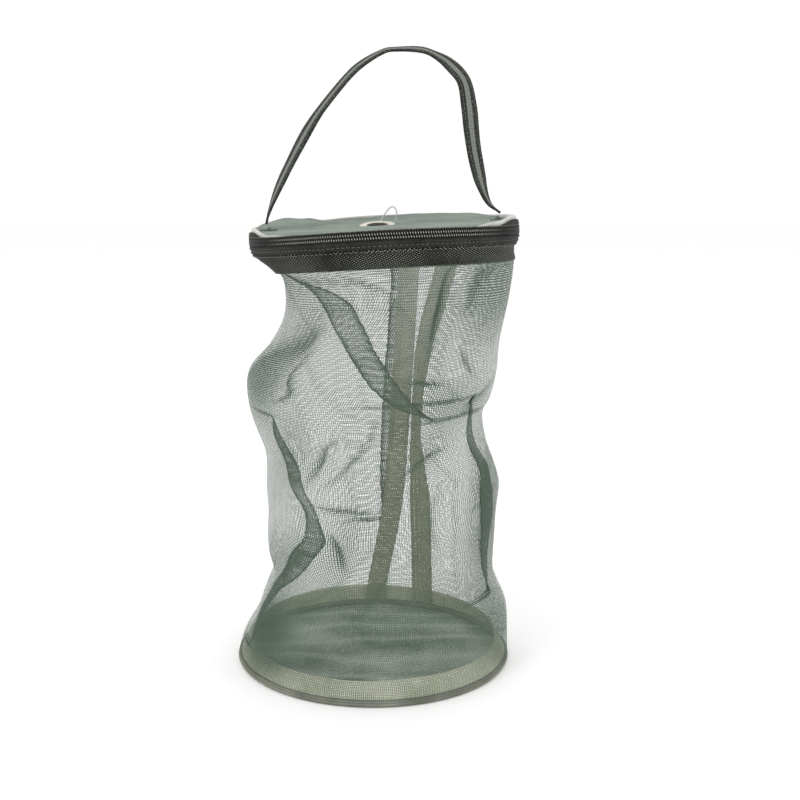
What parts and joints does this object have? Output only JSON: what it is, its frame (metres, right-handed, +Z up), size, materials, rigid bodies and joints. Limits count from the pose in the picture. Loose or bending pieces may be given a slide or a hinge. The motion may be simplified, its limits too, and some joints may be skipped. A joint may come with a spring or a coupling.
{
  "type": "folding mesh keep trap",
  "caption": "Folding crab trap: a slack round mesh wall between a flat hooped base and a zip-lidded rim, with a lid port and a webbing handle.",
  "frame": {"origin": "centre of the base's underside, on the floor", "axes": "+Z up, +Y towards the lid's hinge at the back, +X to the right seen from the front"},
  "size_m": [0.1364, 0.134, 0.2949],
  "materials": {
    "base_mesh": "two layers of fine green mesh",
    "grey_piping": "woven piping",
    "olive_tape": "plain woven binding tape",
    "wall_mesh": "fine see-through green mesh",
    "woven_skirt": "coarse charcoal weave",
    "zip_tape": "charcoal zip tape and binding",
    "zip_coil": "nylon coil teeth",
    "lid_cloth": "grey-green coated taffeta",
    "white_strip": "white plastic strip",
    "steel_wire": "spring steel",
    "port_metal": "pale lacquered metal",
    "clear_line": "clear nylon line",
    "handle_webbing": "charcoal green webbing",
    "pale_stitching": "pale grey stitching",
    "slider_metal": "dark lacquered die casting"
  },
  "bodies": {
    "base": {"base_panel": "base_mesh", "base_wire": "steel_wire", "base_piping": "grey_piping", "foot_tape": "olive_tape", "mesh_wall": "wall_mesh", "seam_tape_left": "olive_tape", "seam_tape_right": "olive_tape"},
    "rim": {"skirt_band": "woven_skirt", "rim_wire_tunnel": "zip_tape", "rim_wire": "steel_wire", "zip_tape_lower": "zip_tape", "zip_teeth_lower": "zip_coil", "zip_stops_lower": "slider_metal", "hinge_tape": "zip_tape"},
    "lid": {"lid_panel": "lid_cloth", "lid_stiffener": "white_strip", "lid_binding": "zip_tape", "zip_tape_upper": "zip_tape", "zip_teeth_upper": "zip_coil", "zip_stops_upper": "slider_metal", "port_ring": "port_metal", "port_washer": "port_metal", "clear_loop": "clear_line", "handle_tab_left": "handle_webbing", "handle_tab_right": "handle_webbing"},
    "handle": {"handle_strap": "handle_webbing", "handle_stitching": "pale_stitching"},
    "zip_slider": {"slider_body": "slider_metal", "slider_bridge": "slider_metal"},
    "zip_pull": {"pull_tab": "slider_metal"}
  },
  "joints": [
    {"name": "collapse", "type": "slide", "parent": "base", "child": "rim", "axis": [0, 0, 1], "range_m": [-0.168, 0.045], "deforming": ["mesh_wall", "seam_tape_left", "seam_tape_right"]},
    {"name": "lid_hinge", "type": "hinge", "parent": "rim", "child": "lid", "pos_m": [0.005, 0.0633, 0.2096], "axis": [-0.9988, 0, -0.0488], "range_deg": [0, 120]},
    {"name": "handle_swing", "type": "hinge", "parent": "lid", "child": "handle", "pos_m": [0.00472, 0, 0.21539], "axis": [0.9988, 0, 0.0488], "range_deg": [-75, 75]},
    {"name": "zip_run", "type": "hinge", "parent": "rim", "child": "zip_slider", "pos_m": [0.005, 0, 0.2096], "axis": [-0.0488, 0, 0.9988], "range_deg": [0, 299.5]},
    {"name": "pull_swing", "type": "hinge", "parent": "zip_slider", "child": "zip_pull", "pos_m": [-0.02859, 0.05772, 0.20796], "axis": [0.0488, 0, -0.9988], "range_deg": [0, 175]}
  ]
}
